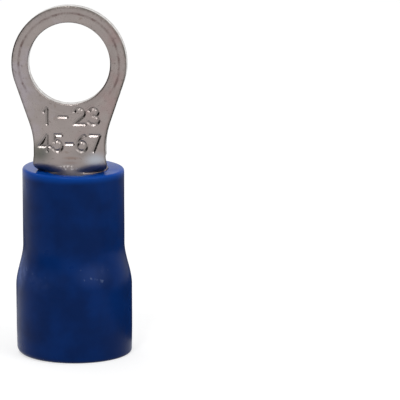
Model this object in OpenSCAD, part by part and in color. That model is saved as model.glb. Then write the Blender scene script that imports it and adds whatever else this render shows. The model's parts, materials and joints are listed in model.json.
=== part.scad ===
// Vinyl-insulated ring terminal for a stranded wire of 1.5 to 2.5 square mm and an M4 stud.
// It stands on the sleeve's wire entry, at Z = 0, with the barrel's axis on the Z axis and the ring on top.
// The tongue lies on the -Y side of the axis, in line with the barrel's outside, and the seam on the +Y side.

/* [Sheet] */
// Thickness of the tinned copper sheet
sheet_t = 0.8; // [0.6:0.05:0.9]

/* [Ring] */
// Outer diameter of the ring
ring_d = 6.4; // [5.8:0.3:7]
// Diameter of the hole for the stud
stud_hole_d = 4.55; // [3.2:0.45:5]
// Height of the hole's centre above the barrel's mouth
hole_reach = 6.1; // [5.8:0.3:7.3]

/* [Neck] */
// Width of the neck, measured on the flat blank
neck_w = 4; // [3.6:0.2:4.2]
// Slope of the neck's sides where they widen to the ring, in degrees from upright
neck_slope = 19; // [17:2:25]
// Radius of the hollow corners below those slopes
neck_fillet_r = 4; // [2:1:5]
// Height over which the rolled barrel flattens out into the tongue
trough_len = 1.35; // [1.2:0.15:1.8]
// Radius of the inner corners where the neck leaves the barrel's mouth
shoulder_r = 0.25; // [0.15:0.05:0.4]

/* [Barrel] */
// Inner diameter of the rolled barrel
wire_bore_d = 2.3; // [2:0.1:2.3]
// Length of the barrel
barrel_len = 4.8; // [4:0.4:5.6]
// Width left between the two edges that butt at the seam
seam_gap = 0.08; // [0.04:0.04:0.2]
// Width of the notch where the seam runs out at each end
notch_w = 0.45; // [0.3:0.15:0.75]
// Depth of that notch along the barrel
notch_depth = 0.3; // [0.2:0.1:0.5]
// Number of grooves inside the barrel that grip the strands
groove_count = 3; // [1:1:4]
// Width of each groove along the barrel
groove_w = 0.35; // [0.2:0.15:0.5]
// Depth of each groove
groove_depth = 0.1; // [0.05:0.05:0.2]

/* [Sleeve] */
// Length of the insulating sleeve
sleeve_len = 10.6; // [9.6:0.5:11.6]
// Wall of the sleeve
sleeve_wall = 0.91; // [0.6:0.01:1.1]
// Inner diameter of the wire entry
entry_bore_d = 4.75; // [4.4:0.05:5.4]
// Height by which the barrel's mouth stands out of the sleeve
mouth_height = 0.05; // [0.05:0.1:0.35]
// Length of the flare on the outside
flare_len = 2.4; // [1.6:0.1:2.6]
// Length of barrel that the start of the flare covers
flare_cover = 0.45; // [0.2:0.05:0.9]
// Radius of the edge of the rim round the barrel's mouth
rim_r = 0.15; // [0.05:0.05:0.3]
// Radius of both edges of the lip round the wire entry
lip_r = 0.25; // [0.1:0.05:0.4]

/* [Hidden] */
$fn = 96;

// Radial gap left between the barrel and the sleeve that grips it
grip_gap = 0.01;
// Depth by which the trough's surface lies under the skin of the barrel and the tongue
root_inset = 0.03;
// Length of each root of the trough, inside the barrel's wall and inside the tongue
root_depth = 0.1;
// Amount by which a neck's slope crosses the ring and the hollow corner that it touches, for a clean edge at each
slope_overlap = 0.002;
// Amount by which a cutter runs past the face it opens
cut_over = 0.5;

// Heights along the barrel's axis
mouth_z = sleeve_len + mouth_height;
foot_z = mouth_z - barrel_len;
flat_z = mouth_z + trough_len;
hole_z = mouth_z + hole_reach;
flare_top_z = foot_z + flare_cover;
flare_foot_z = flare_top_z - flare_len;

// Radii about the barrel's axis
bore_r = wire_bore_d / 2;
barrel_r = bore_r + sheet_t;
sheet_mid_r = bore_r + sheet_t / 2;
sleeve_bore_r = barrel_r + grip_gap;
sleeve_r = sleeve_bore_r + sleeve_wall;
entry_bore_r = entry_bore_d / 2;
entry_r = entry_bore_r + sleeve_wall;

// Radii that a neck's slope touches, less the overlap
slope_ring_r = ring_d / 2 - slope_overlap;
slope_corner_r = neck_fillet_r - slope_overlap;
// Centre of the hollow corner, which touches the neck's side and its slope
corner_x = neck_w / 2 + neck_fillet_r;
corner_z = hole_z + (corner_x * cos(neck_slope) - slope_ring_r - slope_corner_r) / sin(neck_slope);
// Both ends of the slope, on the hollow corner and on the ring
slope_foot = [corner_x - slope_corner_r * cos(neck_slope), corner_z + slope_corner_r * sin(neck_slope)];
slope_top = [slope_ring_r * cos(neck_slope), hole_z - slope_ring_r * sin(neck_slope)];

// The trough runs just under the skin of the barrel and the tongue, so that its two roots lie inside them
trough_t = sheet_t - 2 * root_inset;
// Rows and columns of the trough's surface
corner_rows = 3;
trough_rows = 12;
columns = 20;
// Height step for the slope of the trough's surface
slope_step = 0.01;
// Curvature below which a row of the trough counts as flat
flat_bend = 0.0001;

// Points along one curve of the sleeve's section
curve_steps = 12;

// Smooth passage from 0 to 1 with no slope at either end
function ease(t) = t * t * (3 - 2 * t);

function share(z) = max(0, min(1, (z - mouth_z) / trough_len));

// Curvature of the sheet at a height: the barrel's own at the mouth, none at the flat tongue
function bend(z) = (1 - ease(share(z))) / sheet_mid_r;

// Point in the middle of the sheet, at a distance across the blank and at a height
function sheet_point(across, z) =
    let (k = bend(z), turn = k * across * 180 / PI)
    k < flat_bend
        ? [across, -sheet_mid_r, z]
        : [sin(turn) / k, (1 - cos(turn)) / k - sheet_mid_r, z];

// Unit vector across the sheet's thickness, towards the hollow side
function sheet_normal(across, z) =
    let (
        turn = bend(z) * across * 180 / PI,
        rise = sheet_point(across, z + slope_step) - sheet_point(across, z - slope_step),
        n = cross(rise, [cos(turn), sin(turn), 0])
    )
    n / norm(n);

// Half the width of the trough at a height, which follows the hollow corners where they reach down into it
function trough_half_w(z) =
    let (rise = max(0, min(sin(neck_slope), (z - corner_z) / neck_fillet_r)))
    neck_w / 2 - root_inset + neck_fillet_r * (1 - sqrt(1 - rise * rise));

// Rows of the trough as [height, half its width]: its root in the barrel, the inner corners, the plain neck,
// and its root in the tongue
function corner_row(i) =
    let (a = 90 * i / corner_rows, z = mouth_z + shoulder_r * (1 - cos(a)))
    [z, trough_half_w(z) + shoulder_r * (1 - sin(a))];

trough_outline = concat(
    [[mouth_z - root_depth, corner_row(1)[1]]],
    [for (i = [1 : corner_rows]) corner_row(i)],
    [for (i = [1 : trough_rows - 1])
        let (z = mouth_z + shoulder_r + (trough_len - shoulder_r) * i / trough_rows)
        [z, trough_half_w(z)]],
    [[flat_z + root_depth, trough_half_w(flat_z + root_depth)]]
);

// One row of surface points: the outer face from -X to +X, then the hollow face back again
function trough_row(z, half_w) = [
    for (face = [-1, 1], j = [0 : columns])
        let (across = -face * half_w * (2 * j / columns - 1))
        sheet_point(across, z) + face * trough_t / 2 * sheet_normal(across, z)
];

// The passage from the rolled barrel to the flat tongue
module trough() {
    last = len(trough_outline) - 1;
    ring = 2 * (columns + 1);
    points = [for (row = trough_outline) each trough_row(row[0], row[1])];
    sides = [
        for (i = [0 : last - 1], j = [0 : ring - 1])
            let (a = i * ring + j, b = i * ring + (j + 1) % ring)
            each [[a, a + ring, b], [b, a + ring, b + ring]]
    ];
    caps = [
        for (j = [0 : columns - 1])
            let (k = ring - 1 - j, top = last * ring)
            each [[j, j + 1, k - 1, k], [top + k, top + k - 1, top + j + 1, top + j]]
    ];
    polyhedron(points, concat(sides, caps));
}

// The neck, straight at its foot and sloping out to the ring above its hollow corners
module neck_outline() {
    cut_foot_z = min(flat_z, corner_z) - cut_over;
    right = [[slope_foot[0], flat_z], slope_foot, slope_top];
    left = [for (i = [len(right) - 1 : -1 : 0]) [-right[i][0], right[i][1]]];
    difference() {
        polygon(concat(right, left));
        for (side = [-1, 1]) {
            translate([side * corner_x, corner_z]) circle(r = neck_fillet_r);
            translate([side * corner_x - neck_fillet_r, cut_foot_z])
                square([2 * neck_fillet_r, corner_z - cut_foot_z]);
        }
    }
}

module tongue_outline() {
    difference() {
        union() {
            translate([0, hole_z]) circle(d = ring_d);
            neck_outline();
        }
        translate([0, hole_z]) circle(d = stud_hole_d);
    }
}

module tongue() {
    translate([0, sheet_t - barrel_r, 0])
        rotate([90, 0, 0])
            linear_extrude(height = sheet_t)
                tongue_outline();
}

// The gap where the blank's two edges butt, with a notch at each end from the blank's cut corners
module seam_outline() {
    gap_x = seam_gap / 2;
    end_x = notch_w / 2;
    right = [
        [end_x, foot_z - cut_over],
        [end_x, foot_z],
        [gap_x, foot_z + notch_depth],
        [gap_x, mouth_z - notch_depth],
        [end_x, mouth_z],
        [end_x, mouth_z + cut_over]
    ];
    left = [for (i = [len(right) - 1 : -1 : 0]) [-right[i][0], right[i][1]]];
    polygon(concat(right, left));
}

module barrel() {
    groove_pitch = barrel_len / (groove_count + 1);
    difference() {
        translate([0, 0, foot_z]) cylinder(r = barrel_r, h = barrel_len);
        translate([0, 0, foot_z - cut_over]) cylinder(r = bore_r, h = barrel_len + 2 * cut_over);
        for (i = [1 : groove_count])
            translate([0, 0, foot_z + i * groove_pitch - groove_w / 2])
                cylinder(r = bore_r + groove_depth, h = groove_w);
        translate([0, barrel_r + cut_over, 0])
            rotate([90, 0, 0])
                linear_extrude(height = barrel_r + cut_over)
                    seam_outline();
    }
}

// One stamping: ring and neck, the trough below them, and the rolled barrel
module terminal() {
    color([0.58, 0.54, 0.52]) {
        tongue();
        trough();
        barrel();
    }
}

function arc(x, z, r, from, to) = [
    for (i = [0 : curve_steps])
        let (a = from + (to - from) * i / curve_steps)
        [x + r * cos(a), z + r * sin(a)]
];

// A smooth S between two radii, from one height to another
function flare(r1, z1, r2, z2) = [
    for (i = [0 : curve_steps])
        let (t = i / curve_steps)
        [r1 + (r2 - r1) * ease(t), z1 + (z2 - z1) * t]
];

module insulating_sleeve() {
    color([0.04, 0.14, 0.39])
        rotate_extrude()
            polygon(concat(
                [[sleeve_bore_r, sleeve_len]],
                arc(sleeve_r - rim_r, sleeve_len - rim_r, rim_r, 90, 0),
                flare(sleeve_r, flare_top_z, entry_r, flare_foot_z),
                arc(entry_r - lip_r, lip_r, lip_r, 0, -90),
                arc(entry_bore_r + lip_r, lip_r, lip_r, 270, 180),
                flare(entry_bore_r, flare_foot_z, sleeve_bore_r, foot_z)
            ));
}

terminal();
insulating_sleeve();
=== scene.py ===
import json
import math

import bmesh
import bpy
import numpy as np
from mathutils import Matrix, Vector, geometry, noise


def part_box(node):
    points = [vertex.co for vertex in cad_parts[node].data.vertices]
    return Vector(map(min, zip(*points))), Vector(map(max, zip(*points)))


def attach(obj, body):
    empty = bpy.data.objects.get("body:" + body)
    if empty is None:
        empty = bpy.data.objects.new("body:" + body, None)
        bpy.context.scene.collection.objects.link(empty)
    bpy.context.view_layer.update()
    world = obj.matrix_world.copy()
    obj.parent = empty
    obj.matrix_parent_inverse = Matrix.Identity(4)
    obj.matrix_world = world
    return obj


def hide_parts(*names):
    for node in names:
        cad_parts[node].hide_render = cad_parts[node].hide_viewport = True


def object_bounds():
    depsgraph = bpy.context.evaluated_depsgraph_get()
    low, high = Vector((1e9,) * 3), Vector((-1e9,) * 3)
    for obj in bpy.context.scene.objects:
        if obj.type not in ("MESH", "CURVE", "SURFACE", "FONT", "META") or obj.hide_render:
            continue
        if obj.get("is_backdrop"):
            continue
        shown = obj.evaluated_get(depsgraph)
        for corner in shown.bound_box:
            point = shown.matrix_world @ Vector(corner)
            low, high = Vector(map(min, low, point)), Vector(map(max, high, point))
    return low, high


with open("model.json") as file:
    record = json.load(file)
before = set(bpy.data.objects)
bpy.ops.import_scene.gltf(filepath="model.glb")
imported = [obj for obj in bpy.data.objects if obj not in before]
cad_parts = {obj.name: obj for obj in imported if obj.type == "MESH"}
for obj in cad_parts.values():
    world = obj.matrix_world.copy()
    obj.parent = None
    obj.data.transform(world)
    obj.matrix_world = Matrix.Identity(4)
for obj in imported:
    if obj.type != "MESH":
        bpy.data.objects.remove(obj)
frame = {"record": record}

mm = 0.001
farOff = 1.0  # in metres, further than anything on the part
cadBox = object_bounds()

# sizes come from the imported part: its mounts and its two nodes' boxes
mounts = {m["name"]: m for m in frame["record"]["mounts"]}
termLow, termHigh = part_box("terminal")
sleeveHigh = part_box("insulating_sleeve")[1]
sheetT = mounts["stud_hole"]["dims"]["length_mm"] * mm
holeR = mounts["stud_hole"]["dims"]["r_mm"] * mm
holeZ = mounts["stud_hole"]["pos_m"][2]
boreR = mounts["wire_barrel"]["dims"]["r_mm"] * mm
barrelLen = mounts["wire_barrel"]["dims"]["length_mm"] * mm
entryBoreR = mounts["insulation_entry"]["dims"]["r_mm"] * mm
ringR = termHigh[2] - holeZ
midR = boreR + sheetT / 2
barrelR = boreR + sheetT
footZ = termLow[2]
mouthZ = footZ + barrelLen
print("frame read: ring radius", round(ringR / mm, 3), "mm, mouth at", round(mouthZ / mm, 2), "mm")


terminalLook = {
    "neckWidth": 4.0 * mm,
    "neckSlope": 19,  # degrees from upright, where the neck widens to the ring
    "cornerRadius": 4.0 * mm,  # hollow corners below the slopes
    "troughLength": 1.35 * mm,
    "troughFloor": 2.6 * mm,  # half the flat floor that opens between the trough's rounded sides
    "shoulderRadius": 0.25 * mm,
    "seamGap": 0.08 * mm,
    "seamCorner": 0.24 * mm,  # rounded corners of the blank at both ends of the seam
    "outsideEdge": 0.075 * mm,  # rolled-over edge on the punch side
    "hollowEdge": 0.035 * mm,
    "edgeLoops": 5,
    "outlineStep": 0.07 * mm,
    "leastSteps": (4, 2),  # on any arc and on any straight stretch of the outline
    "plainStep": 0.12 * mm,
    "stampStep": 0.024 * mm,
    "wallRows": 6,
    "shearRoughness": 0.006 * mm,  # unevenness of the sheared edge
    "shearGrain": 0.35 * mm,
    "shearDrift": 3.0,  # how much the grain changes through the sheet
    "dishWidth": 0.52 * mm,  # pressed-in zone round the stud hole
    "dishDepth": 0.035 * mm,
    "creaseDepth": 0.012 * mm,
    "creaseWidth": 0.04 * mm,
    "grooveCount": 3,
    "grooveWidth": 0.35 * mm,
    "grooveDepth": 0.1 * mm,
    "grooveSlope": 0.03 * mm,  # half the width of each groove's sloping side
    "grooveInset": 0.02 * mm,  # the grooves fade out just inside the blank's edge
    "grooveFade": 0.05 * mm,
    "edgeMark": (0.2, 1.5),  # in rolled edges: where its painted shade starts to fade, and over what width
}

stampLook = {
    # height of a row's middle, then each sign with the place of its middle and its width in mm
    "rows": [
        (13.83 * mm, [("1", -1.28, 0.5), ("-", -0.36, 0.46), ("2", 0.56, 0.64), ("3", 1.36, 0.6)]),
        (12.31 * mm, [("4", -1.38, 0.66), ("5", -0.66, 0.52), ("-", 0.0, 0.4), ("6", 0.68, 0.54),
                      ("7", 1.4, 0.56)]),
    ],
    "digitHeight": 0.9 * mm,
    "strokeHalf": 0.105 * mm,
    "depth": 0.068 * mm,
    "lip": 0.006 * mm,  # metal pushed up beside each stroke
    "lipWidth": 0.05 * mm,
    "strokeMark": (0.5, 0.6),  # in half strokes: where its painted shade starts to fade, and over what width
}


# angles in degrees
def arcPoints(cx, cy, rx, ry, start, end, count):
    angles = np.radians(np.linspace(start, end, count))
    return [(cx + rx * math.cos(a), cy + ry * math.sin(a)) for a in angles]


# each digit as strokes in a box one unit wide and one unit high
digitStrokes = {
    "1": [[(0.2, 0.76), (0.56, 1.0), (0.56, 0.0)]],
    "2": [arcPoints(0.48, 0.7, 0.44, 0.3, 165, -38, 12) + [(0.02, 0.0), (1.0, 0.0)]],
    "3": [arcPoints(0.46, 0.76, 0.42, 0.24, 155, -90, 12),
          arcPoints(0.46, 0.26, 0.5, 0.26, 90, -155, 12)],
    "4": [[(0.7, 0.0), (0.7, 1.0), (0.0, 0.28), (1.0, 0.28)]],
    "5": [[(0.92, 1.0), (0.18, 1.0), (0.12, 0.56)] + arcPoints(0.46, 0.32, 0.5, 0.32, 130, -150, 12)],
    "6": [arcPoints(0.5, 0.3, 0.48, 0.3, 0, 360, 18), arcPoints(1.0, 0.4, 0.96, 0.6, 180, 100, 9)],
    "7": [[(0.0, 1.0), (1.0, 1.0), (0.38, 0.0)]],
    "-": [[(0.0, 0.45), (1.0, 0.45)]],
}


def stampSegments():
    tall = stampLook["digitHeight"]
    segments = []
    for middle, signs in stampLook["rows"]:
        for sign, place, width in signs:
            left = (place - width / 2) * mm
            for stroke in digitStrokes[sign]:
                spots = [(left + x * width * mm, middle + (y - 0.5) * tall) for x, y in stroke]
                segments += list(zip(spots, spots[1:]))
    return np.array(segments)


# from each point to the nearest stroke
def segmentDistance(u, v, segments):
    nearest = np.full(u.shape, farOff)
    for (ax, ay), (bx, by) in segments:
        dx, dy = bx - ax, by - ay
        t = np.clip(((u - ax) * dx + (v - ay) * dy) / (dx * dx + dy * dy), 0, 1)
        nearest = np.minimum(nearest, np.hypot(u - ax - t * dx, v - ay - t * dy))
    return nearest


# soft step from 0 to 1
def smooth(t):
    t = np.clip(t, 0, 1)
    return t * t * (3 - 2 * t)


# the blank bent up: u runs across it, v along it, w through it towards the hollow side
def bendSheet(u, v, w):
    flatBend = 0.01  # curvature per metre below which the sheet counts as flat

    def middle(height):
        share = smooth((height - mouthZ) / terminalLook["troughLength"])
        floorHalf = terminalLook["troughFloor"] * share
        level = np.clip(u, -floorHalf, floorHalf)
        rolled = u - level
        k = (1 - share ** 2) / midR
        bent = k > flatBend
        safe = np.where(bent, k, 1.0)
        x = level + np.where(bent, np.sin(safe * rolled) / safe, rolled)
        y = np.where(bent, (1 - np.cos(safe * rolled)) / safe, 0) - midR
        return k * rolled, np.stack([x, y, height], axis=1)

    step = 0.01 * mm  # up and down from a point, for the slope of the sheet there
    turn, spot = middle(v)
    rise = middle(v + step)[1] - middle(v - step)[1]
    across = np.stack([np.cos(turn), np.sin(turn), np.zeros_like(u)], axis=1)
    normal = np.cross(rise, across)
    normal /= np.linalg.norm(normal, axis=1, keepdims=True)
    return spot + w[:, None] * normal


# the blank's edge, each point with its outward normal, clockwise from the top of the ring
def blankOutline():
    look = terminalLook
    step = look["outlineStep"]
    slope = math.radians(look["neckSlope"])
    corner = look["cornerRadius"]
    cornerX = look["neckWidth"] / 2 + corner
    cornerZ = holeZ + (cornerX * math.cos(slope) - ringR - corner) / math.sin(slope)
    slopeTop = (ringR * math.cos(slope), holeZ - ringR * math.sin(slope))
    slopeFoot = (cornerX - corner * math.cos(slope), cornerZ + corner * math.sin(slope))
    half = math.pi * midR - look["seamGap"] / 2
    shoulder = look["shoulderRadius"]
    cut = look["seamCorner"]
    leastOnArc, leastOnLine = look["leastSteps"]

    def arc(cx, cy, r, start, end):
        count = max(leastOnArc, round(math.radians(abs(end - start)) * r / step))
        angles = np.radians(np.linspace(start, end, count + 1))[:-1]
        side = 1 if end < start else -1  # outward normal of a bulging or hollow stretch
        turns = [(math.cos(a), math.sin(a)) for a in angles]
        return [(cx + r * c, cy + r * s, side * c, side * s) for c, s in turns]

    def line(ax, ay, bx, by):
        length = math.hypot(bx - ax, by - ay)
        count = max(leastOnLine, round(length / step))
        nx, ny = -(by - ay) / length, (bx - ax) / length
        shares = [i / count for i in range(count)]
        return [(ax + (bx - ax) * t, ay + (by - ay) * t, nx, ny) for t in shares]

    right = arc(0, holeZ, ringR, 90, -look["neckSlope"])
    right += line(*slopeTop, *slopeFoot)
    right += arc(cornerX, cornerZ, corner, 180 - look["neckSlope"], 180)
    right += line(look["neckWidth"] / 2, cornerZ, look["neckWidth"] / 2, mouthZ + shoulder)
    right += arc(look["neckWidth"] / 2 + shoulder, mouthZ + shoulder, shoulder, 180, 270)
    right += line(look["neckWidth"] / 2 + shoulder, mouthZ, half - cut, mouthZ)
    right += arc(half - cut, mouthZ - cut, cut, 90, 0)
    right += line(half, mouthZ - cut, half, footZ + cut)
    right += arc(half - cut, footZ + cut, cut, 0, -90)
    right += line(half - cut, footZ, 0, footZ)
    right.append((0, footZ, 0, -1))
    left = [(-x, y, -nx, ny) for x, y, nx, ny in reversed(right[1:-1])]
    return np.array(right + left)


def holeOutline():
    count = round(2 * math.pi * holeR / terminalLook["outlineStep"])
    angles = np.linspace(0, 2 * math.pi, count, endpoint=False)
    c, s = np.cos(angles), np.sin(angles)
    return np.stack([holeR * c, holeZ + holeR * s, -c, -s], axis=1)


# inside the outline and outside the hole
def insideBlank(u, v, loops):
    inside = np.zeros(u.shape, bool)
    for loop in loops:
        x1, y1 = loop[:, 0], loop[:, 1]
        x2, y2 = np.roll(x1, -1), np.roll(y1, -1)
        for ax, ay, bx, by in zip(x1, y1, x2, y2):
            if ay == by:
                continue
            crossing = (ay > v) != (by > v)
            inside ^= crossing & (u < (bx - ax) * (v - ay) / (by - ay) + ax)
    return inside


# from each point to the nearest point of an outline
def edgeDistance(u, v, loops):
    batch = 4000  # points measured at a time
    nearest = np.full(u.shape, farOff)
    for loop in loops:
        for start in range(0, len(u), batch):
            part = slice(start, start + batch)
            du = u[part, None] - loop[None, :, 0]
            dv = v[part, None] - loop[None, :, 1]
            nearest[part] = np.minimum(nearest[part], np.hypot(du, dv).min(axis=1))
    return nearest


def gridPoints(low, high, step):
    rowPitch = 0.866  # rows of an even triangle grid
    us = np.arange(low[0], high[0], step)
    vs = np.arange(low[1], high[1], step * rowPitch)
    u, v = np.meshgrid(us, vs)
    u[1::2] += step / 2
    return u.ravel(), v.ravel()


# how far a rolled edge falls below the face
def edgeDrop(distance, radius):
    d = np.clip(distance, 0, radius)
    return radius - np.sqrt(radius ** 2 - (radius - d) ** 2)


# one face of the blank: edge loops set in from the outline, then a grid, joined by a triangulation
def blankFace(loops, fineArea, edgeRadius):
    look = terminalLook
    margin = 0.1 * mm  # between the grooves' rows and the blank's sides
    clear = 0.3 * look["outlineStep"]  # between the innermost edge loop and the grid
    turns = [math.pi / 2 * i / look["edgeLoops"] for i in range(look["edgeLoops"] + 1)]
    insets = [edgeRadius * (1 - math.cos(a)) for a in turns]
    us, vs, ds, edges = [], [], [], []
    count = 0
    for loop in loops:
        for inset in insets:
            n = len(loop)
            us.append(loop[:, 0] - loop[:, 2] * inset)
            vs.append(loop[:, 1] - loop[:, 3] * inset)
            ds.append(np.full(n, inset))
            edges += [(count + i, count + (i + 1) % n) for i in range(n)]
            count += n
    low = (loops[0][:, 0].min(), loops[0][:, 1].min())
    high = (loops[0][:, 0].max(), loops[0][:, 1].max())
    u, v = gridPoints(low, high, look["plainStep"])
    if fineArea:
        (u0, v0), (u1, v1) = fineArea
        away = (u < u0) | (u > u1) | (v < v0) | (v > v1)
        fu, fv = gridPoints((u0, v0), (u1, v1), look["stampStep"])
        u, v = np.concatenate([u[away], fu]), np.concatenate([v[away], fv])
    else:
        for z in grooveEdges():
            row = np.arange(low[0] + margin, high[0] - margin, look["plainStep"])
            u, v = np.concatenate([u, row]), np.concatenate([v, np.full(row.shape, z)])
    keep = insideBlank(u, v, loops)
    u, v = u[keep], v[keep]
    d = edgeDistance(u, v, loops)
    keep = d > edgeRadius + clear
    us.append(u[keep])
    vs.append(v[keep])
    ds.append(np.full(keep.sum(), farOff))
    u, v, d = np.concatenate(us), np.concatenate(vs), np.concatenate(ds)
    scale = 1 / mm
    tolerance = 1e-7  # points closer than this, in millimetres, count as one
    spots = [Vector((x * scale, y * scale)) for x, y in zip(u, v)]
    out = geometry.delaunay_2d_cdt(spots, edges, [], 0, tolerance, True)
    triangles = np.array(out[2])
    source = np.array([o[0] if o else -1 for o in out[3]])
    triangles = source[triangles]
    cu, cv = u[triangles].mean(axis=1), v[triangles].mean(axis=1)
    triangles = triangles[insideBlank(cu, cv, loops)]
    # every triangle runs the same way round
    a, b, c = (np.stack([u[triangles[:, i]], v[triangles[:, i]]], axis=1) for i in range(3))
    area = (b[:, 0] - a[:, 0]) * (c[:, 1] - a[:, 1]) - (b[:, 1] - a[:, 1]) * (c[:, 0] - a[:, 0])
    triangles[area < 0] = triangles[area < 0][:, ::-1]
    return u, v, d, triangles


# four heights for each groove: where its two sloping sides start and end
def grooveEdges():
    look = terminalLook
    pitch = barrelLen / (look["grooveCount"] + 1)
    edges = []
    for i in range(look["grooveCount"]):
        middle = footZ + (i + 1) * pitch
        for side in (-1, 1):
            slope = look["grooveSlope"]
            edges += [middle + side * (look["grooveWidth"] / 2 + x) for x in (-slope, slope)]
    return edges


def grooveDepth(v):
    edges = grooveEdges()
    depth = np.zeros(v.shape)
    for i in range(0, len(edges), 4):
        a, b, c, d = sorted(edges[i:i + 4])
        depth += terminalLook["grooveDepth"] * smooth((v - a) / (b - a)) * smooth((d - v) / (d - c))
    return depth


# the grooves' depth as a height on the hollow face, kept off the blank's edge
def grooveSink(v, d):
    look = terminalLook
    return -grooveDepth(v) * smooth((d - look["grooveInset"]) / look["grooveFade"])


# two faces and the sheared wall between them, made on the flat blank and bent up
def makeTerminal():
    look = terminalLook
    loops = [blankOutline(), holeOutline()]
    stamp = stampLook
    segments = stampSegments()
    reach = stamp["strokeHalf"] + 2 * stamp["lipWidth"]
    rowHalf = abs(segments[:, :, 0]).max() + reach
    lowRow, highRow = segments[:, :, 1].min() - reach, segments[:, :, 1].max() + reach
    fineArea = ((-rowHalf, lowRow), (rowHalf, highRow))

    # outside face, which carries the stamped numbers
    u, v, d, triangles = blankFace(loops, fineArea, look["outsideEdge"])
    w = -sheetT / 2 + edgeDrop(d, look["outsideEdge"])
    fromHole = np.hypot(u, v - holeZ) - holeR
    dish = 1 - smooth(fromHole / look["dishWidth"])
    crease = np.exp(-((fromHole - look["dishWidth"]) / look["creaseWidth"]) ** 2)
    flat = smooth((v - mouthZ) / look["troughLength"])
    w += flat * (look["dishDepth"] * dish + look["creaseDepth"] * crease)
    near = (abs(u) < rowHalf) & (v > lowRow) & (v < highRow)
    distance = np.full(u.shape, farOff)
    distance[near] = segmentDistance(u[near], v[near], segments)
    w += stamp["depth"] * (1 - np.clip(distance / stamp["strokeHalf"], 0, 1))
    lipHalf = stamp["lipWidth"] / 2
    w -= stamp["lip"] * np.exp(-((distance - stamp["strokeHalf"] - lipHalf) / lipHalf) ** 2)
    outside = bendSheet(u, v, w)
    outsideLoops = loopStarts(loops)

    # hollow face, plain, with the grip grooves inside the barrel
    hu, hv, hd, hollowTriangles = blankFace(loops, None, look["hollowEdge"])
    hw = sheetT / 2 - edgeDrop(hd, look["hollowEdge"]) + grooveSink(hv, hd)
    hollow = bendSheet(hu, hv, hw)

    points = [outside, hollow]
    faces = [triangles, hollowTriangles[:, ::-1] + len(outside)]
    base = len(outside) + len(hollow)
    # sheared wall between the two faces, a little uneven
    wallQuads = []
    grain = look["shearGrain"]
    wallHeight = sheetT - look["outsideEdge"] - look["hollowEdge"]
    for start, loop in zip(outsideLoops, loops):
        n = len(loop)
        rows = [np.arange(start, start + n)]
        for r in range(1, look["wallRows"]):
            share = r / look["wallRows"]
            drift = look["shearDrift"] * share
            depth = -sheetT / 2 + look["outsideEdge"] + share * wallHeight
            wave = np.array([noise.noise(Vector((x / grain, y / grain, drift))) for x, y in loop[:, :2]])
            inset = look["shearRoughness"] * (1 + wave)
            wallU = loop[:, 0] - loop[:, 2] * inset
            wallV = loop[:, 1] - loop[:, 3] * inset
            points.append(bendSheet(wallU, wallV, np.full(n, depth)))
            rows.append(np.arange(base, base + n))
            base += n
        rows.append(np.arange(start, start + n) + len(outside))
        for top, bottom in zip(rows, rows[1:]):
            wallQuads.append(np.stack([top, bottom, np.roll(bottom, -1), np.roll(top, -1)], axis=1))
    vertices = np.concatenate(points)
    allFaces = [face.tolist() for part in faces + wallQuads for face in part]
    mesh = bpy.data.meshes.new("stamped_terminal")
    mesh.from_pydata(vertices.tolist(), [], allFaces)
    # how far each point is on the rolled-over edge, on the sheared wall, and in a stamped stroke
    marks = {name: np.zeros(len(vertices)) for name in ("rolledEdge", "shearedWall", "inStroke")}
    edgeStart, edgeWidth = (share * look["outsideEdge"] for share in look["edgeMark"])
    strokeStart, strokeWidth = (share * stamp["strokeHalf"] for share in stamp["strokeMark"])
    marks["rolledEdge"][:len(u)] = 1 - smooth((d - edgeStart) / edgeWidth)
    marks["inStroke"][:len(u)] = 1 - smooth((distance - strokeStart) / strokeWidth)
    marks["shearedWall"][len(outside) + len(hollow):] = 1
    for name, values in marks.items():
        mesh.attributes.new(name, "FLOAT", "POINT").data.foreach_set("value", values.astype(np.float32))
    mesh.validate()
    obj = bpy.data.objects.new("stamped_terminal", mesh)
    bpy.context.scene.collection.objects.link(obj)
    tidyNormals(obj)
    return obj


# where each outline's first edge loop starts in a face's points
def loopStarts(loops):
    starts, count = [], 0
    for loop in loops:
        starts.append(count)
        count += len(loop) * (terminalLook["edgeLoops"] + 1)
    return starts


# normals outwards, no loose points, smooth faces
def tidyNormals(obj):
    bm = bmesh.new()
    bm.from_mesh(obj.data)
    bmesh.ops.recalc_face_normals(bm, faces=bm.faces)
    loose = [v for v in bm.verts if not v.link_faces]
    bmesh.ops.delete(bm, geom=loose, context="VERTS")
    bm.to_mesh(obj.data)
    bm.free()
    obj.data.polygons.foreach_set("use_smooth", [True] * len(obj.data.polygons))
    obj.data.update()


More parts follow.
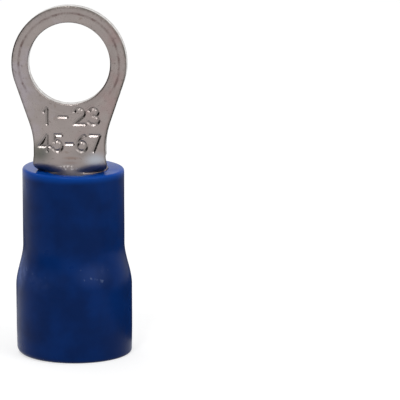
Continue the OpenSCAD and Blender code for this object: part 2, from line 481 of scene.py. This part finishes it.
sleeveLook = {
    "wall": sleeveHigh[0] - entryBoreR,
    "gripGap": 0.01 * mm,
    "flareLength": 2.4 * mm,
    "flareCover": 0.45 * mm,  # how far up the barrel the flare starts
    "rimRadius": 0.15 * mm,
    "lipRadius": 0.14 * mm,
    "innerLip": 0.25 * mm,
    "softLip": 0.24 * mm,  # extra rounding on the lip's worn side
    "softLipSide": 200,  # degrees round from +X
    "lipDip": 0.03 * mm,  # the entry draws in a little towards its lip
    "dipHeight": 1.4 * mm,
    "waviness": 0.012 * mm,
    "waveTurns": 1.6,  # a higher value puts more waves round the wall
    "waveHeight": 2.2 * mm,  # about the length of one wave up the wall
    "evenLip": 0.8 * mm,  # the lip below this height stays even
    "flashHeight": 0.05 * mm,  # thin plastic left round the barrel's mouth
    "flashSteps": (0.05 * mm, 0.12 * mm),  # from the bore, where it thins and where it ends
    "flashThin": 0.7,  # share of its height left where it thins
    "flashTurns": 4,  # a higher value breaks it up more
    "flashCover": 0.25,  # a higher value leaves flash round more of the mouth
    "cutSlant": (-0.06 * mm, 0.05 * mm),  # rise of the cut end towards +X and +Y
    "pressWidth": 0.38 * mm,  # inner edge pressed down under the tongue
    "pressDepth": 0.13 * mm,
    "pressSpread": 62,  # degrees to each side of the tongue
    "segments": 192,
    "curveSteps": 16,
    "rimSteps": 10,
    "wallSteps": 24,
    "entrySteps": 16,
    "dipSteps": 10,
    "boreSteps": 20,
}


# section at an angle as radius and height: over the cut end, down the outside, round the lip, up the bore
def sleeveProfile(angle):
    look = sleeveLook
    bore = barrelR + look["gripGap"]
    outer = bore + look["wall"]
    entryOuter = sleeveHigh[0]
    top = sleeveHigh[2]
    flareTop = footZ + look["flareCover"]
    flareFoot = flareTop - look["flareLength"]
    worn = 0.5 + 0.5 * math.cos(angle - math.radians(look["softLipSide"]))
    lipOut = look["lipRadius"] + look["softLip"] * worn
    lipIn = look["innerLip"]
    rim = look["rimRadius"]
    steps = look["curveSteps"]
    thin, thinEnd = look["flashSteps"]
    flashSeed = 7.3
    turns = look["flashTurns"]
    flashNoise = noise.noise(Vector((turns * math.cos(angle), turns * math.sin(angle), flashSeed)))
    flash = look["flashHeight"] * max(0, flashNoise + look["flashCover"])

    def arc(cx, cz, r, start, end):
        angles = [math.radians(start + (end - start) * i / steps) for i in range(steps + 1)]
        return [(cx + r * math.cos(a), cz + r * math.sin(a)) for a in angles]

    def run(r1, z1, r2, z2, count):
        return [(r1 + (r2 - r1) * i / count, z1 + (z2 - z1) * i / count) for i in range(1, count)]

    def flare(r1, z1, r2, z2):
        out = []
        for i in range(2 * steps + 1):
            t = i / (2 * steps)
            out.append((r1 + (r2 - r1) * float(smooth(t)), z1 + (z2 - z1) * t))
        return out

    points = [(bore, top + flash), (bore + thin, top + look["flashThin"] * flash), (bore + thinEnd, top)]
    points += run(bore + thinEnd, top, outer - rim, top, look["rimSteps"])
    points += arc(outer - rim, top - rim, rim, 90, 0)
    points += run(outer, top - rim, outer, flareTop, look["wallSteps"])
    points += flare(outer, flareTop, entryOuter, flareFoot)
    points += run(entryOuter, flareFoot, entryOuter, look["dipHeight"], look["entrySteps"])
    points += run(entryOuter, look["dipHeight"], entryOuter - look["lipDip"], lipOut, look["dipSteps"])
    points += arc(entryOuter - look["lipDip"] - lipOut, lipOut, lipOut, 0, -90)
    points += arc(entryBoreR + lipIn, lipIn, lipIn, 270, 180)
    points += run(entryBoreR, lipIn, entryBoreR, flareFoot, look["entrySteps"])
    points += flare(entryBoreR, flareFoot, bore, footZ)
    points += run(bore, footZ, bore, top, look["boreSteps"])
    fromTongue = abs(math.degrees(math.atan2(math.cos(angle), -math.sin(angle))))
    press = look["pressDepth"] * float(smooth(1 - fromTongue / look["pressSpread"]))
    slant = look["cutSlant"][0] * math.cos(angle) + look["cutSlant"][1] * math.sin(angle)
    # the slant runs out down the wall, and the press reaches only the rim's inner edge
    shaped = []
    for r, z in points:
        onTop = float(smooth((z - flareTop) / (top - flareTop)))
        inner = float(smooth(1 - (r - bore) / look["pressWidth"])) if z > top - rim else 0
        shaped.append((r, z + slant * onTop - press * inner))
    return shaped


def makeSleeve():
    look = sleeveLook
    count = look["segments"]
    skin = 0.3 * mm  # the bore and the mouth's edge, this close to the barrel, stay even
    turns = look["waveTurns"]
    rings = []
    for i in range(count):
        angle = 2 * math.pi * i / count
        ring = []
        for r, z in sleeveProfile(angle):
            c, s = math.cos(angle), math.sin(angle)
            wave = noise.noise(Vector((c * turns, s * turns, z / look["waveHeight"])))
            if r > barrelR + skin and z > look["evenLip"]:
                r -= look["waviness"] * (0.5 + 0.5 * wave)
            ring.append((r * c, r * s, z))
        rings.append(ring)
    n = len(rings[0])
    vertices = [p for ring in rings for p in ring]
    faces = []
    for i in range(count):
        for j in range(n):
            a, b = i * n + j, i * n + (j + 1) % n
            c, d = ((i + 1) % count) * n + (j + 1) % n, ((i + 1) % count) * n + j
            faces.append((a, b, c, d))
    mesh = bpy.data.meshes.new("vinyl_sleeve")
    mesh.from_pydata(vertices, [], faces)
    mesh.validate()
    obj = bpy.data.objects.new("vinyl_sleeve", mesh)
    bpy.context.scene.collection.objects.link(obj)
    tidyNormals(obj)
    return obj


def newGroup(name, inputs, outputs):
    group = bpy.data.node_groups.new(name, "ShaderNodeTree")
    for socketName, kind, value in inputs:
        socket = group.interface.new_socket(name=socketName, in_out="INPUT", socket_type=kind)
        if value is not None:
            socket.default_value = value
    for socketName, kind in outputs:
        group.interface.new_socket(name=socketName, in_out="OUTPUT", socket_type=kind)
    return group, group.nodes.new("NodeGroupInput"), group.nodes.new("NodeGroupOutput")


def addMath(tree, operation, a, b=None, clamp=False):
    node = tree.nodes.new("ShaderNodeMath")
    node.operation = operation
    node.use_clamp = clamp
    for i, value in enumerate((a, b)):
        if value is None:
            continue
        if isinstance(value, (int, float)):
            node.inputs[i].default_value = value
        else:
            tree.links.new(value, node.inputs[i])
    return node.outputs[0]


def addMark(tree, name):
    node = tree.nodes.new("ShaderNodeAttribute")
    node.attribute_name = name
    return node.outputs["Fac"]


def addNoise(tree, vector, scale, detail=3.0, roughness=0.55, distortion=0.0):
    node = tree.nodes.new("ShaderNodeTexNoise")
    tree.links.new(vector, node.inputs["Vector"])
    if isinstance(scale, (int, float)):
        node.inputs["Scale"].default_value = scale
    else:
        tree.links.new(scale, node.inputs["Scale"])
    node.inputs["Detail"].default_value = detail
    node.inputs["Roughness"].default_value = roughness
    node.inputs["Distortion"].default_value = distortion
    return node.outputs["Fac"]


def addRange(tree, value, fromLow, fromHigh, toLow=0.0, toHigh=1.0):
    node = tree.nodes.new("ShaderNodeMapRange")
    node.interpolation_type = "SMOOTHSTEP"
    sockets = ("Value", "From Min", "From Max", "To Min", "To Max")
    for name, item in zip(sockets, (value, fromLow, fromHigh, toLow, toHigh)):
        if isinstance(item, (int, float)):
            node.inputs[name].default_value = item
        else:
            tree.links.new(item, node.inputs[name])
    return node.outputs["Result"]


def addMix(tree, factor, a, b):
    node = tree.nodes.new("ShaderNodeMix")
    node.data_type = "RGBA"
    if isinstance(factor, (int, float)):
        node.inputs["Factor"].default_value = factor
    else:
        tree.links.new(factor, node.inputs["Factor"])
    for name, item in (("A", a), ("B", b)):
        socket = [s for s in node.inputs if s.name == name and s.type == "RGBA"][0]
        if isinstance(item, tuple):
            socket.default_value = (*item, 1.0)
        else:
            tree.links.new(item, socket)
    return [s for s in node.outputs if s.type == "RGBA"][0]


# lays a colour over another through a mask
def addPaint(tree, mask, strength, tone, colour):
    return addMix(tree, addMath(tree, "MULTIPLY", mask, strength), tone, colour)


# soft spot round a place on the part, both given in metres
def addSpot(tree, coords, place, reach, strength, inner=0.1, outer=1.25):
    offset = tree.nodes.new("ShaderNodeVectorMath")
    offset.operation = "SUBTRACT"
    tree.links.new(coords, offset.inputs[0])
    offset.inputs[1].default_value = place
    scaled = tree.nodes.new("ShaderNodeVectorMath")
    scaled.operation = "MULTIPLY"
    tree.links.new(offset.outputs[0], scaled.inputs[0])
    scaled.inputs[1].default_value = [1 / r for r in reach]
    length = tree.nodes.new("ShaderNodeVectorMath")
    length.operation = "LENGTH"
    tree.links.new(scaled.outputs[0], length.inputs[0])
    return addRange(tree, length.outputs["Value"], inner, outer, strength, 0.0)


# patches rubbed by other terminals in the bag: a mask that breaks up at its rim, and specks
def makeScuffGroup():
    group, start, end = newGroup("rubbedPatches", [
        ("Vector", "NodeSocketVector", None),
        ("Patch Scale", "NodeSocketFloat", 500.0),
        ("Speck Scale", "NodeSocketFloat", 4000.0),
        ("Cover", "NodeSocketFloat", 0.5),
    ], [("Mask", "NodeSocketFloat"), ("Specks", "NodeSocketFloat")])
    rimWidth = 0.22
    speckRange = (0.6, 0.72)
    vector = start.outputs["Vector"]
    patch = addNoise(group, vector, start.outputs["Patch Scale"],
                     detail=4.0, roughness=0.6, distortion=0.4)
    speck = addNoise(group, vector, start.outputs["Speck Scale"], detail=2.0, roughness=0.7)
    limit = addMath(group, "SUBTRACT", 1.0, start.outputs["Cover"])
    mask = addRange(group, patch, limit, addMath(group, "ADD", limit, rimWidth))
    group.links.new(mask, end.inputs["Mask"])
    group.links.new(addRange(group, speck, *speckRange), end.inputs["Specks"])
    return group


# fine unevenness of a moulded or rolled surface, as a height
def makeSkinGroup():
    group, start, end = newGroup("fineSkin", [
        ("Vector", "NodeSocketVector", None),
        ("Broad Scale", "NodeSocketFloat", 900.0),
        ("Fine Scale", "NodeSocketFloat", 9000.0),
        ("Fine Share", "NodeSocketFloat", 0.3),
    ], [("Height", "NodeSocketFloat"), ("Tone", "NodeSocketFloat")])
    vector = start.outputs["Vector"]
    broad = addNoise(group, vector, start.outputs["Broad Scale"], detail=3.0, roughness=0.5)
    fine = addNoise(group, vector, start.outputs["Fine Scale"], detail=2.0, roughness=0.6)
    height = addMath(group, "ADD", broad, addMath(group, "MULTIPLY", fine, start.outputs["Fine Share"]))
    group.links.new(height, end.inputs["Height"])
    group.links.new(broad, end.inputs["Tone"])
    return group


def useGroup(tree, group, vector, values):
    node = tree.nodes.new("ShaderNodeGroup")
    node.node_tree = group
    tree.links.new(vector, node.inputs["Vector"])
    for name, value in values.items():
        node.inputs[name].default_value = value
    return node


# the surface's own fine bumps, from a height between 0 and about 1
def addBump(tree, shader, look, height):
    bump = tree.nodes.new("ShaderNodeBump")
    bump.inputs["Strength"].default_value = look["bump"]
    bump.inputs["Distance"].default_value = look["bumpHeight"]
    tree.links.new(height, bump.inputs["Height"])
    tree.links.new(bump.outputs["Normal"], shader.inputs["Normal"])


def newMaterial(name):
    material = bpy.data.materials.new(name)
    material.use_nodes = True
    tree = material.node_tree
    shader = tree.nodes["Principled BSDF"]
    coords = tree.nodes.new("ShaderNodeTexCoord").outputs["Object"]
    return material, tree, shader, coords


# the part of its range that a skin's broad noise mostly fills
toneSpan = (0.3, 0.7)

# noise scales are per metre; a pair is the start and the end of a soft step, and for roughness its range
tinLook = {
    "skin": {"Broad Scale": 1100.0, "Fine Scale": 14000.0, "Fine Share": 0.4},
    "scuffs": {"Patch Scale": 900.0, "Speck Scale": 5200.0, "Cover": 0.42},
    "tone": (0.30, 0.262, 0.250),
    "coolTone": (0.34, 0.305, 0.325),
    "warmTone": (0.29, 0.220, 0.212),
    "patchScale": 520.0,
    "patchStrength": 3.0,
    "driftAcross": 0.55,  # how far the tone drifts from one side of the ring to the other
    "coolDrift": (-0.15, -0.8),
    "warmDrift": (0.15, 0.9),
    "driftStrength": 0.9,
    "stainTone": (0.17, 0.115, 0.085),
    "stainScale": 1300.0,
    "stainCover": (0.6, 0.74),
    "stainStrength": 0.4,
    "darkSpeck": (0.085, 0.055, 0.05),
    "speckStrength": 0.35,
    # ring of pits round the stud hole, its darker tone a painted shade on the upper half
    "ringShadeTone": (0.115, 0.07, 0.065),
    "ringShadeStrength": 0.7,
    "ringWidth": (0.015 * mm, 0.1 * mm),
    "ringWander": 0.12 * mm,
    "wanderScale": 700.0,
    "breakScale": 2100.0,
    "ringBreaks": (0.42, 0.64),
    "ringLeast": 0.3,  # what is left of it in the breaks
    "ringFoot": (-0.85, -0.5),  # below the hole's centre it fades out, in hole radii
    "ringDepth": (0.25, 0.1),  # only on the outside face, in sheet thicknesses
    # painted shade in the stamped strokes: a darker tone in the recesses
    "strokeShadeTone": (0.20, 0.18, 0.172),
    "strokeShadeStrength": 0.6,
    "rollShadeTone": (0.055, 0.05, 0.038),  # painted shade on the rolled-over edge, a darker tone for the dark it reflects
    "rollShadeStrength": 0.75,
    "rollScale": 1500.0,
    "rollBreaks": (0.3, 0.6),
    "rollLeast": 0.45,
    "lessShadeRim": (0.15 * mm, 0.4 * mm),  # less of it round the hole
    "lessShadeShare": 0.3,
    "wallToneAndHighlight": (0.74, 0.73, 0.71),  # freshly sheared, brighter than the skin, and raised further as a painted highlight
    "wallScale": 4200.0,
    "wallBreaks": (0.45, 0.6),
    "wallLeast": 0.45,
    "roughness": (0.22, 0.34),
    "rubbedRoughness": 0.06,
    "ringRoughness": 0.25,
    "wallRoughness": 0.08,
    "bump": 0.35,
    "bumpHeight": 0.004 * mm,
    # marks low on the neck, the first a painted dark reflection and the second a painted bluish-white
    # highlight, the rest handling marks and stains: across, height, half width, half height in mm,
    # strength, colour
    "neckMarksAndReflections": [
        (-1.65, 11.75, 0.8, 0.75, 0.8, (0.07, 0.08, 0.062)),
        (1.5, 11.35, 0.75, 0.5, 0.75, (0.44, 0.49, 0.56)),
        (0.75, 11.75, 0.8, 0.3, 0.35, (0.17, 0.165, 0.16)),
        (0.1, 11.47, 0.5, 0.1, 0.55, (0.2, 0.115, 0.08)),
        (0.05, 11.2, 0.5, 0.09, 0.4, (0.24, 0.15, 0.12)),
    ],
    "neckMarkDepth": 1.2 * mm,
    "neckMarkFade": (0.1, 1.25),
    "neckMarkBreaks": (-1.2, 0.6),
    "neckMarkLeast": 0.75,
    "dullNeck": 0.16,  # extra roughness where the sheet is bent
    "dullReach": 1.3,  # up to this many trough lengths
    # bright scratches just above the mouth, placed as the marks above
    "fleckPlace": (-0.1, 10.92, 0.65, 0.16),
    "fleckFade": (0.6, 1.1),
    "fleckScale": 5200.0,
    "fleckCover": (0.5, 0.64),
    "fleckTone": (0.62, 0.57, 0.54),
}


def makeTin(scuffs, skin):
    material, tree, shader, coords = newMaterial("tinnedCopper")
    look = tinLook
    surface = useGroup(tree, skin, coords, look["skin"])
    rubbed = useGroup(tree, scuffs, coords, look["scuffs"])
    split = tree.nodes.new("ShaderNodeSeparateXYZ")
    tree.links.new(coords, split.inputs[0])
    x, y, z = (split.outputs[axis] for axis in "XYZ")

    # soft spot on the outside of the neck
    def frontSpot(where, strength, fade=look["neckMarkFade"]):
        place, height, halfWidth, halfHeight = (value * mm for value in where)
        reach = (halfWidth, look["neckMarkDepth"], halfHeight)
        return addSpot(tree, coords, (place, -barrelR, height), reach, strength, *fade)

    # the plating drifts from cool to warm across the sheet, in patches
    patchNoise = addNoise(tree, coords, look["patchScale"], detail=3.0, roughness=0.6)
    patches = addMath(tree, "SUBTRACT", patchNoise, 0.5)
    patches = addMath(tree, "MULTIPLY", patches, look["patchStrength"])
    across = addMath(tree, "MULTIPLY", x, 1 / ringR)
    drift = addMath(tree, "ADD", addMath(tree, "MULTIPLY", across, look["driftAcross"]), patches)
    cool = addRange(tree, drift, *look["coolDrift"], 0.0, look["driftStrength"])
    warm = addRange(tree, drift, *look["warmDrift"], 0.0, look["driftStrength"])
    tone = addMix(tree, cool, look["tone"], look["coolTone"])
    tone = addMix(tree, warm, tone, look["warmTone"])
    stainNoise = addNoise(tree, coords, look["stainScale"], detail=4.0, roughness=0.65, distortion=0.6)
    stain = addRange(tree, stainNoise, *look["stainCover"])
    tone = addPaint(tree, stain, look["stainStrength"], tone, look["stainTone"])
    tone = addPaint(tree, rubbed.outputs["Specks"], look["speckStrength"], tone, look["darkSpeck"])

    # faint ring of pits where the presser foot touched the tongue; its darker tone, kept to the upper
    # half, is painted shade along the dish's crease
    upFromHole = addMath(tree, "SUBTRACT", z, holeZ)
    squareUp = addMath(tree, "MULTIPLY", upFromHole, upFromHole)
    radius = addMath(tree, "SQRT", addMath(tree, "ADD", addMath(tree, "MULTIPLY", x, x), squareUp))
    wander = addMath(tree, "SUBTRACT", addNoise(tree, coords, look["wanderScale"], detail=2.0), 0.5)
    wander = addMath(tree, "MULTIPLY", wander, look["ringWander"])
    ringPlace = holeR + terminalLook["dishWidth"]
    offRing = addMath(tree, "SUBTRACT", addMath(tree, "ADD", radius, wander), ringPlace)
    nearRing = addRange(tree, addMath(tree, "ABSOLUTE", offRing), *look["ringWidth"], 1.0, 0.0)
    onFront = addRange(tree, y, *(share * sheetT - barrelR for share in look["ringDepth"]))
    upper = addRange(tree, upFromHole, *(share * holeR for share in look["ringFoot"]))
    breaks = addNoise(tree, coords, look["breakScale"], detail=3.0, roughness=0.75)
    broken = addRange(tree, breaks, *look["ringBreaks"], look["ringLeast"], 1.0)
    pitsAndShade = addMath(tree, "MULTIPLY", addMath(tree, "MULTIPLY", nearRing, onFront),
                   addMath(tree, "MULTIPLY", broken, upper), True)
    tone = addPaint(tree, pitsAndShade, look["ringShadeStrength"], tone, look["ringShadeTone"])

    # painted reflections and stains low on the neck
    uneven = addRange(tree, drift, *look["neckMarkBreaks"], 1.0, look["neckMarkLeast"])
    for *where, strength, colour in look["neckMarksAndReflections"]:
        spot = frontSpot(where, strength)
        tone = addMix(tree, addMath(tree, "MULTIPLY", spot, uneven, True), tone, colour)
    fleckArea = frontSpot(look["fleckPlace"], 1.0, look["fleckFade"])
    fleckNoise = addNoise(tree, coords, look["fleckScale"], detail=2.0, roughness=0.8)
    scratched = addRange(tree, fleckNoise, *look["fleckCover"])
    tone = addPaint(tree, fleckArea, scratched, tone, look["fleckTone"])

    # painted shade: the stamped strokes darker
    tone = addPaint(tree, addMark(tree, "inStroke"), look["strokeShadeStrength"], tone, look["strokeShadeTone"])
    # painted shade on the rolled-over edge, broken up, with less of it round the hole
    edgeShadeNoise = addNoise(tree, coords, look["rollScale"], detail=3.0, roughness=0.7)
    edgeShadeCover = addRange(tree, edgeShadeNoise, *look["rollBreaks"], look["rollLeast"], 1.0)
    edgeShade = addMath(tree, "MULTIPLY", addMark(tree, "rolledEdge"), edgeShadeCover, True)
    lessShadeRim = (holeR + reach for reach in look["lessShadeRim"])
    awayFromHole = addRange(tree, radius, *lessShadeRim, look["lessShadeShare"], 1.0)
    edgeShade = addMath(tree, "MULTIPLY", edgeShade, awayFromHole)
    tone = addPaint(tree, edgeShade, look["rollShadeStrength"], tone, look["rollShadeTone"])
    # sheared wall lighter in flecks, partly a painted highlight
    wall = addMark(tree, "shearedWall")
    wallNoise = addNoise(tree, coords, look["wallScale"], detail=3.0, roughness=0.8)
    flecks = addRange(tree, wallNoise, *look["wallBreaks"], look["wallLeast"], 1.0)
    tone = addMix(tree, addMath(tree, "MULTIPLY", wall, flecks, True), tone, look["wallToneAndHighlight"])
    tree.links.new(tone, shader.inputs["Base Color"])
    shader.inputs["Metallic"].default_value = 1.0

    # duller where it is rubbed, pitted, bent or sheared
    rough = addRange(tree, surface.outputs["Tone"], *toneSpan, *look["roughness"])
    masks = {"rubbedRoughness": rubbed.outputs["Mask"], "ringRoughness": pitsAndShade, "wallRoughness": wall}
    for extra, mask in masks.items():
        rough = addMath(tree, "ADD", rough, addMath(tree, "MULTIPLY", mask, look[extra]))
    bentTop = mouthZ + look["dullReach"] * terminalLook["troughLength"]
    rough = addMath(tree, "ADD", rough, addRange(tree, z, mouthZ, bentTop, look["dullNeck"], 0.0))
    tree.links.new(rough, shader.inputs["Roughness"])
    addBump(tree, shader, look, addMath(tree, "SUBTRACT", surface.outputs["Height"], pitsAndShade))
    return material


vinylLook = {
    "skin": {"Broad Scale": 480.0, "Fine Scale": 7000.0, "Fine Share": 0.2},
    "scuffs": {"Patch Scale": 620.0, "Speck Scale": 2400.0, "Cover": 0.55},
    "tone": (0.0008, 0.0245, 0.144),
    "deepTone": (0.001, 0.0165, 0.096),
    "toneStep": (0.35, 0.65),
    "edgeTone": (0.002, 0.062, 0.36),
    "edgeReach": (0.55 * mm, 0.08 * mm),  # how far down from the rim light soaks in
    "hazeTone": (0.13, 0.19, 0.45),
    "hazeStrength": 0.75,
    "hazeLeast": 0.45,
    "speckTone": (0.14, 0.20, 0.36),
    "speckStrength": 0.4,
    "speckHaze": (0.04, 0.2),  # haze at which specks start and are all there
    "gloss": 0.07,
    "roughness": (0.27, 0.37),
    "hazeRoughness": 0.18,
    "rimRoughness": 0.14,
    "rimFace": (0.05 * mm, 0.01 * mm),
    "bump": 0.3,
    "bumpHeight": 0.006 * mm,
    # where the pressed edge catches the light: from the barrel's front at the rim, and its reach
    "sheenPlace": (0.55 * mm, -0.35 * mm, -0.05 * mm),
    "sheenReach": (0.75 * mm, 0.3 * mm, 0.12 * mm),
    "sheenStrength": 0.3,
    "sheenTone": (0.05, 0.24, 0.50),
    # rubbed spots on the flare, partly painted highlights: degrees round from -Y to +X, height, half
    # width and half height in mm, and strength
    "rubsAndHighlights": [
        (27, 5.0, 1.15, 0.75, 0.3),
        (-66, 4.9, 0.9, 1.1, 1.0),
        (-30, 4.7, 1.6, 0.8, 0.14),
        (140, 4.8, 1.4, 0.9, 0.3),
    ],
    "rubRadius": 0.97,  # of the entry's radius
}


def makeVinyl(scuffs, skin):
    material, tree, shader, coords = newMaterial("blueVinyl")
    look = vinylLook
    rimTop = sleeveHigh[2]
    surface = useGroup(tree, skin, coords, look["skin"])
    rubbed = useGroup(tree, scuffs, coords, look["scuffs"])
    split = tree.nodes.new("ShaderNodeSeparateXYZ")
    tree.links.new(coords, split.inputs[0])
    z = split.outputs["Z"]
    clouds = addRange(tree, surface.outputs["Tone"], *look["toneStep"])
    tone = addMix(tree, clouds, look["tone"], look["deepTone"])
    nearRim = addRange(tree, z, *(rimTop - reach for reach in look["edgeReach"]))
    tone = addMix(tree, nearRim, tone, look["edgeTone"])
    sheenPlace = Vector((0, -barrelR, rimTop)) + Vector(look["sheenPlace"])
    pressed = addSpot(tree, coords, sheenPlace, look["sheenReach"], look["sheenStrength"])
    tone = addMix(tree, pressed, tone, look["sheenTone"])

    # the widest part of the flare takes the rubbing, and painted highlights on its shoulder
    haze = None
    for degrees, height, halfWidth, halfHeight, strength in look["rubsAndHighlights"]:
        place = directionFrom(degrees, 0) * sleeveHigh[0] * look["rubRadius"]
        place.z = height * mm
        spot = addSpot(tree, coords, place, (halfWidth * mm, halfWidth * mm, halfHeight * mm), strength)
        haze = spot if haze is None else addMath(tree, "MAXIMUM", haze, spot)
    cloud = addRange(tree, rubbed.outputs["Mask"], 0.0, 1.0, look["hazeLeast"], 1.0)
    wearAndHighlight = addMath(tree, "MULTIPLY", haze, cloud, True)
    inHaze = addRange(tree, haze, *look["speckHaze"])
    specks = addMath(tree, "MULTIPLY", rubbed.outputs["Specks"], inHaze)
    tone = addPaint(tree, wearAndHighlight, look["hazeStrength"], tone, look["hazeTone"])
    tone = addPaint(tree, specks, look["speckStrength"], tone, look["speckTone"])
    tree.links.new(tone, shader.inputs["Base Color"])

    # the cut face of the rim is smoother than the wall
    shader.inputs["Specular IOR Level"].default_value = look["gloss"]
    rough = addRange(tree, surface.outputs["Tone"], *toneSpan, *look["roughness"])
    rough = addMath(tree, "ADD", rough, addMath(tree, "MULTIPLY", wearAndHighlight, look["hazeRoughness"]))
    onRim = addRange(tree, z, *(rimTop - reach for reach in look["rimFace"]))
    rough = addMath(tree, "MULTIPLY", rough, addMath(tree, "SUBTRACT", 1.0, onRim))
    rough = addMath(tree, "ADD", rough, addMath(tree, "MULTIPLY", onRim, look["rimRoughness"]))
    tree.links.new(rough, shader.inputs["Roughness"])
    addBump(tree, shader, look, surface.outputs["Height"])
    return material


stageLook = {
    "floorRadius": 1.5,
    "floorSides": 64,
    "floorTone": (0.5, 0.5, 0.5),
    "floorRoughness": 0.8,
    "floorLift": 0.62,  # brings the lit floor up to white where it is looked at
    "worldLight": 0.5,
}

lampLook = [
    # name, azimuth and elevation from the object, distance, width, power in watts
    ("softboxRight", 55, 40, 0.32, 0.20, 0.25),
    ("softboxTop", -150, 62, 0.34, 0.24, 0.2),
    ("spotFront", -12, 52, 0.30, 0.05, 0.18),
]

cameraLook = {
    "azimuth": 6.3,
    "elevation": 10.6,
    "distance": 0.160,
    "focus": (0.0, 0.0, 0.010),
    "aimRight": 7.12 * mm,  # the part stands left of the middle of the frame
    "aimDown": 1.31 * mm,
    "roll": 0.06,
    "lens": 255.7,
    "clip": (0.01, 10),
}


# azimuth in degrees round from -Y to +X
def directionFrom(azimuth, elevation):
    a, e = math.radians(azimuth), math.radians(elevation)
    return Vector((math.sin(a) * math.cos(e), -math.cos(a) * math.cos(e), math.sin(e)))


# 1 for whatever the camera, a reflection or a refraction looks at
def lookedAt(tree):
    path = tree.nodes.new("ShaderNodeLightPath")
    seen = addMath(tree, "MAXIMUM", path.outputs["Is Camera Ray"], path.outputs["Is Glossy Ray"])
    return addMath(tree, "MAXIMUM", seen, path.outputs["Is Transmission Ray"])


def makeFloor():
    mesh = bpy.data.meshes.new("floor")
    bm = bmesh.new()
    bmesh.ops.create_circle(bm, cap_ends=True, radius=stageLook["floorRadius"],
                            segments=stageLook["floorSides"])
    bm.to_mesh(mesh)
    bm.free()
    floor = bpy.data.objects.new("floor", mesh)
    bpy.context.scene.collection.objects.link(floor)
    material, tree, shader, _ = newMaterial("paleFloor")
    shader.inputs["Base Color"].default_value = (*stageLook["floorTone"], 1.0)
    shader.inputs["Roughness"].default_value = stageLook["floorRoughness"]
    shader.inputs["Specular IOR Level"].default_value = 0.0
    shader.inputs["Emission Color"].default_value = (1, 1, 1, 1)
    lift = addMath(tree, "MULTIPLY", lookedAt(tree), stageLook["floorLift"])
    tree.links.new(lift, shader.inputs["Emission Strength"])
    mesh.materials.append(material)
    floor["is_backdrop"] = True


def makeWorld():
    world = bpy.data.worlds.new("studio")
    bpy.context.scene.world = world
    world.use_nodes = True
    tree = world.node_tree
    background = tree.nodes["Background"]
    background.inputs["Color"].default_value = (1, 1, 1, 1)
    strength = addRange(tree, lookedAt(tree), 0.0, 1.0, stageLook["worldLight"], 1.0)
    tree.links.new(strength, background.inputs["Strength"])


# dark cards that only reflections see
cardLook = [
    # name, azimuth, distance, width, height, lean from upright in degrees
    ("darkCardLeft", -52, 0.09, 0.10, 0.07, 0),
    ("darkMatRight", 148, 0.004, 0.075, 0.056, 90),
]
cardTone = (0.02, 0.02, 0.018)
cardLift = 0.1 * mm  # keeps the flat one off the floor


def makeCard(name, azimuth, distance, width, height, lean):
    mesh = bpy.data.meshes.new(name)
    bm = bmesh.new()
    half = width / 2
    corners = ((-half, 0, 0), (half, 0, 0), (half, 0, height), (-half, 0, height))
    bm.faces.new([bm.verts.new(c) for c in corners])
    bm.to_mesh(mesh)
    bm.free()
    card = bpy.data.objects.new(name, mesh)
    card.location = directionFrom(azimuth, 0) * distance + Vector((0, 0, cardLift))
    card.rotation_euler = (math.radians(lean), 0, math.radians(azimuth))
    bpy.context.scene.collection.objects.link(card)
    material, _, shader, _ = newMaterial(name)
    shader.inputs["Base Color"].default_value = (*cardTone, 1.0)
    shader.inputs["Roughness"].default_value = 1.0
    shader.inputs["Specular IOR Level"].default_value = 0.0
    mesh.materials.append(material)
    card.visible_camera = False
    card.visible_diffuse = False
    card.visible_shadow = False
    card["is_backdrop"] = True


def makeLamps():
    target = Vector(cameraLook["focus"])
    for name, azimuth, elevation, distance, width, power in lampLook:
        light = bpy.data.lights.new(name, "AREA")
        light.shape = "DISK"
        light.size = width
        light.energy = power
        lamp = bpy.data.objects.new(name, light)
        lamp.location = target + directionFrom(azimuth, elevation) * distance
        lamp.rotation_euler = (target - lamp.location).to_track_quat("-Z", "Y").to_euler()
        bpy.context.scene.collection.objects.link(lamp)


def makeCamera():
    look = cameraLook
    back = directionFrom(look["azimuth"], look["elevation"])
    right = Vector((0, 0, 1)).cross(back).normalized()
    up = back.cross(right)
    focus = Vector(look["focus"])
    place = focus + back * look["distance"]
    aim = focus + right * look["aimRight"] - up * look["aimDown"]
    forward = (aim - place).normalized()
    roll = Matrix.Rotation(math.radians(look["roll"]), 3, "Z")
    turn = forward.to_track_quat("-Z", "Y").to_matrix() @ roll
    data = bpy.data.cameras.new("camera")
    data.lens = look["lens"]
    data.clip_start, data.clip_end = look["clip"]
    camera = bpy.data.objects.new("camera", data)
    camera.matrix_world = Matrix.Translation(place) @ turn.to_4x4()
    bpy.context.scene.collection.objects.link(camera)
    bpy.context.scene.camera = camera


makeCamera()
makeFloor()
makeWorld()
makeLamps()
for values in cardLook:
    makeCard(*values)
print("stage, lamps and camera are up")

scuffGroup = makeScuffGroup()
skinGroup = makeSkinGroup()

terminal = makeTerminal()
terminal.data.materials.append(makeTin(scuffGroup, skinGroup))
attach(terminal, "root")
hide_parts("terminal")
print("terminal:", len(terminal.data.vertices), "points,", len(terminal.data.polygons), "faces")

sleeve = makeSleeve()
sleeve.data.materials.append(makeVinyl(scuffGroup, skinGroup))
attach(sleeve, "root")
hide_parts("insulating_sleeve")
print("sleeve:", len(sleeve.data.vertices), "points,", len(sleeve.data.polygons), "faces")

bpy.context.scene.view_settings.view_transform = "Standard"

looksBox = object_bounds()
for name, box in (("CAD", cadBox), ("looks", looksBox)):
    print(name, "box in mm:", [[round(x / mm, 3) for x in c] for c in box])
